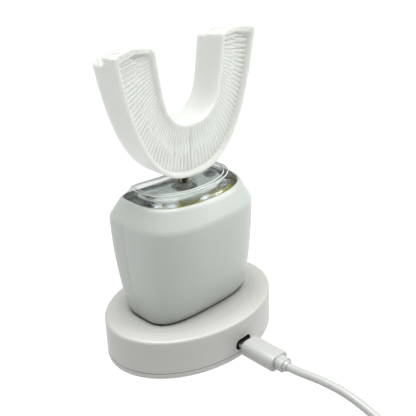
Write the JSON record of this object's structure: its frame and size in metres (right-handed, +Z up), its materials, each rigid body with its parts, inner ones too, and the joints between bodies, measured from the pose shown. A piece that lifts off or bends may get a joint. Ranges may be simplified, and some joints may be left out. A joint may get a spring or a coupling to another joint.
{
  "type": "mouthpiece toothbrush on charging base",
  "caption": "Automatic toothbrush with a U-shaped bristled mouthpiece on a wide waterproof handle, standing on an oval charging base with a detachable charging lead.",
  "frame": {"origin": "middle of the charging base's underside, on the surface it stands on", "axes": "+Z up, -Y towards the side with the charging socket, +X to the right when facing that side"},
  "size_m": [0.1206, 0.1801, 0.1351],
  "materials": {
    "base_shell": "satin white, slightly warm",
    "handle_shell": "smooth satin white",
    "button_white": "satin white",
    "chassis_plastic": "matte light grey",
    "clear_cover": "clear, polished",
    "seal_rubber": "soft light grey",
    "foot_rubber": "matte grey",
    "deck_silver": "satin silver paint",
    "plate_metal": "satin metal",
    "plated_steel": "plated, fine grain",
    "screw_steel": "machined",
    "shaft_steel": "ground and polished",
    "collar_black": "dark",
    "shaft_brass": "machined",
    "rotor_iron": "dark, laminated",
    "copper_winding": "enamelled copper wire",
    "ferrite": "matte dark grey",
    "circuit_board": "green solder mask",
    "light_board": "olive solder mask",
    "white_light": "clear lens",
    "blue_light": "clear bluish lens",
    "switch_black": "black",
    "battery_sleeve": "shrink sleeve over a metal can",
    "milky_silicone": "translucent milky silicone",
    "cord_white": "white, slightly soft",
    "tie_plastic": "white strip"
  },
  "bodies": {
    "base": {"base_top_shell": "base_shell", "base_bottom_cover": "base_shell", "base_feet": "foot_rubber", "base_screws": "screw_steel", "base_circuit_board": "circuit_board", "base_ferrite_disc": "ferrite", "transmit_coil": "copper_winding", "charging_socket": "plated_steel"},
    "handle": {"front_shell": "handle_shell", "rear_shell": "handle_shell", "bottom_cap": "handle_shell", "bottom_seal": "seal_rubber", "clear_top_cover": "clear_cover", "cover_gasket": "seal_rubber", "cover_screws": "screw_steel", "deck_plate": "deck_silver", "motor_plate": "plate_metal", "led_board": "light_board", "white_leds": "white_light", "blue_leds": "blue_light", "light_guide": "clear_cover", "chassis": "chassis_plastic", "motor_can": "plated_steel", "battery": "battery_sleeve", "main_circuit_board": "circuit_board", "button_switch": "switch_black", "receive_coil": "copper_winding", "handle_ferrite_disc": "ferrite", "shaft_bush": "shaft_brass", "shaft_seal": "seal_rubber"},
    "button": {"power_button": "button_white", "button_stem": "seal_rubber"},
    "drive": {"motor_rotor": "rotor_iron", "drive_shaft": "shaft_steel", "shaft_collar": "collar_black"},
    "mouthpiece": {"mouthpiece_tray": "milky_silicone", "shaft_insert": "shaft_brass"},
    "lead": {"plug_tip": "plated_steel", "plug_overmould": "cord_white", "plug_strain_relief": "cord_white", "cord_tube": "cord_white", "cord_coil": "cord_white", "cord_tail": "cord_white", "cord_tie": "tie_plastic", "supply_plug_overmould": "cord_white", "supply_plug_shell": "plated_steel"}
  },
  "joints": [
    {"name": "handle_lift", "type": "slide", "parent": "base", "child": "handle", "axis": [0, 0, 1], "range_m": [0, 0.06]},
    {"name": "button_press", "type": "slide", "parent": "handle", "child": "button", "axis": [0, -1, 0], "range_m": [0, 0.0008], "stiffness_N_per_m": 1200},
    {"name": "shaft_swing", "type": "hinge", "parent": "handle", "child": "drive", "pos_m": [0, 0, 0.05], "axis": [0, 0, 1], "range_deg": [-4, 4], "stiffness_Nm_per_rad": 0.05},
    {"name": "mouthpiece_pull", "type": "slide", "parent": "drive", "child": "mouthpiece", "axis": [0, 0, 1], "range_m": [0, 0.02]},
    {"name": "plug_pull", "type": "slide", "parent": "base", "child": "lead", "axis": [0, -1, 0], "range_m": [0, 0.012]}
  ]
}
